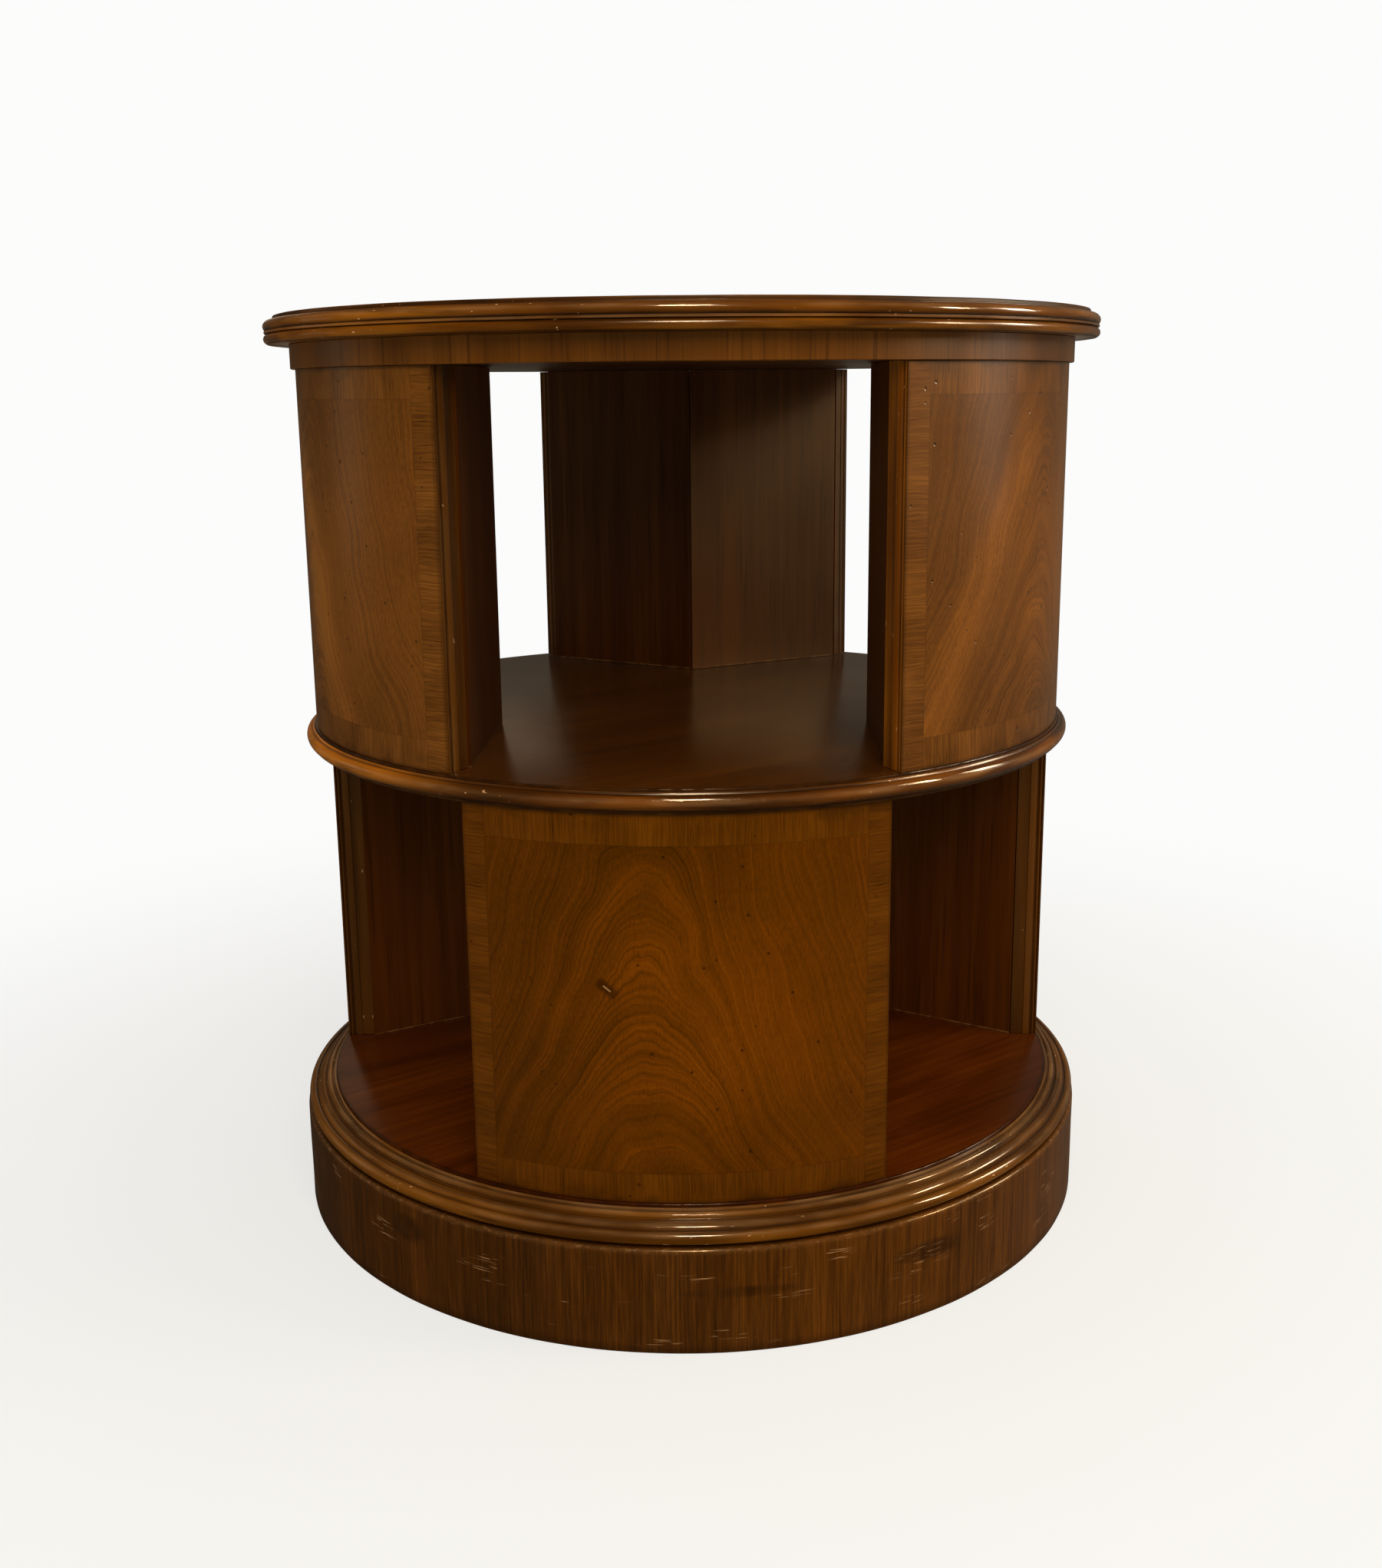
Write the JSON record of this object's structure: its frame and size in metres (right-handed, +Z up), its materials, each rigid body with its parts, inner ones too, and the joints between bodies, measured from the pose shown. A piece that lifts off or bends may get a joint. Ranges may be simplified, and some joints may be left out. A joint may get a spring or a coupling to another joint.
{
  "type": "revolving drum bookcase",
  "caption": "Round mahogany bookcase on a plinth: a veneered drum with open bays on two tiers that turns on a ring bearing.",
  "frame": {"origin": "centre of the plinth's underside, on the floor", "axes": "+Z up along the drum's axis of rotation; the front, with the open upper bay and the closed lower panel, faces -Y; +X to its right"},
  "size_m": [0.6176, 0.6176, 0.671],
  "materials": {
    "flame_veneer": "satin polished veneer, flame figure with crossbanded borders",
    "mahogany_moulding": "glossy polished solid mahogany, darker in the recesses",
    "shelf_veneer": "glossy red-brown polished veneer",
    "wall_veneer": "satin plain dark veneer, upright grain",
    "plinth_veneer": "satin dark upright-grain veneer, scuffed",
    "top_veneer": "glossy polished veneer with a crossbanded edge",
    "carcass_wood": "bare sawn softwood",
    "plated_steel": "zinc-plated pressed steel",
    "bright_steel": "bright steel"
  },
  "bodies": {
    "plinth": {"plinth_ring": "plinth_veneer", "plinth_board": "carcass_wood", "glue_block_1": "carcass_wood", "glue_block_2": "carcass_wood", "glue_block_3": "carcass_wood", "glue_block_4": "carcass_wood", "glue_block_5": "carcass_wood", "glue_block_6": "carcass_wood", "bearing_lower_plate": "plated_steel", "lower_plate_screw_1": "bright_steel", "lower_plate_screw_2": "bright_steel", "lower_plate_screw_3": "bright_steel", "lower_plate_screw_4": "bright_steel"},
    "ball_cage": {"ball_cage": "bright_steel"},
    "drum": {"bearing_upper_plate": "plated_steel", "upper_plate_screw_1": "bright_steel", "upper_plate_screw_2": "bright_steel", "upper_plate_screw_3": "bright_steel", "upper_plate_screw_4": "bright_steel", "base_board": "shelf_veneer", "base_moulding": "mahogany_moulding", "lower_panel_front": "flame_veneer", "lower_wall_front_a": "wall_veneer", "lower_lipping_front_a": "mahogany_moulding", "lower_wall_front_b": "wall_veneer", "lower_lipping_front_b": "mahogany_moulding", "lower_panel_right": "flame_veneer", "lower_wall_right_a": "wall_veneer", "lower_lipping_right_a": "mahogany_moulding", "lower_wall_right_b": "wall_veneer", "lower_lipping_right_b": "mahogany_moulding", "lower_panel_left": "flame_veneer", "lower_wall_left_a": "wall_veneer", "lower_lipping_left_a": "mahogany_moulding", "lower_wall_left_b": "wall_veneer", "lower_lipping_left_b": "mahogany_moulding", "upper_panel_right": "flame_veneer", "upper_wall_right_a": "wall_veneer", "upper_lipping_right_a": "mahogany_moulding", "upper_wall_right_b": "wall_veneer", "upper_lipping_right_b": "mahogany_moulding", "upper_panel_rear": "flame_veneer", "upper_wall_rear_a": "wall_veneer", "upper_lipping_rear_a": "mahogany_moulding", "upper_wall_rear_b": "wall_veneer", "upper_lipping_rear_b": "mahogany_moulding", "upper_panel_left": "flame_veneer", "upper_wall_left_a": "wall_veneer", "upper_lipping_left_a": "mahogany_moulding", "upper_wall_left_b": "wall_veneer", "upper_lipping_left_b": "mahogany_moulding", "middle_shelf": "shelf_veneer", "shelf_nosing": "mahogany_moulding", "soffit_board": "wall_veneer", "frieze_band": "flame_veneer", "top_board": "top_veneer", "top_moulding": "mahogany_moulding"}
  },
  "joints": [
    {"name": "drum_spin", "type": "hinge", "parent": "plinth", "child": "drum", "pos_m": [0, 0, 0.0711], "axis": [0, 0, 1], "continuous": true},
    {"name": "cage_spin", "type": "hinge", "parent": "plinth", "child": "ball_cage", "pos_m": [0, 0, 0.0711], "axis": [0, 0, 1], "continuous": true}
  ],
  "couplings": [
    {"joint": "cage_spin", "follows": "drum_spin", "ratio": 0.5}
  ]
}
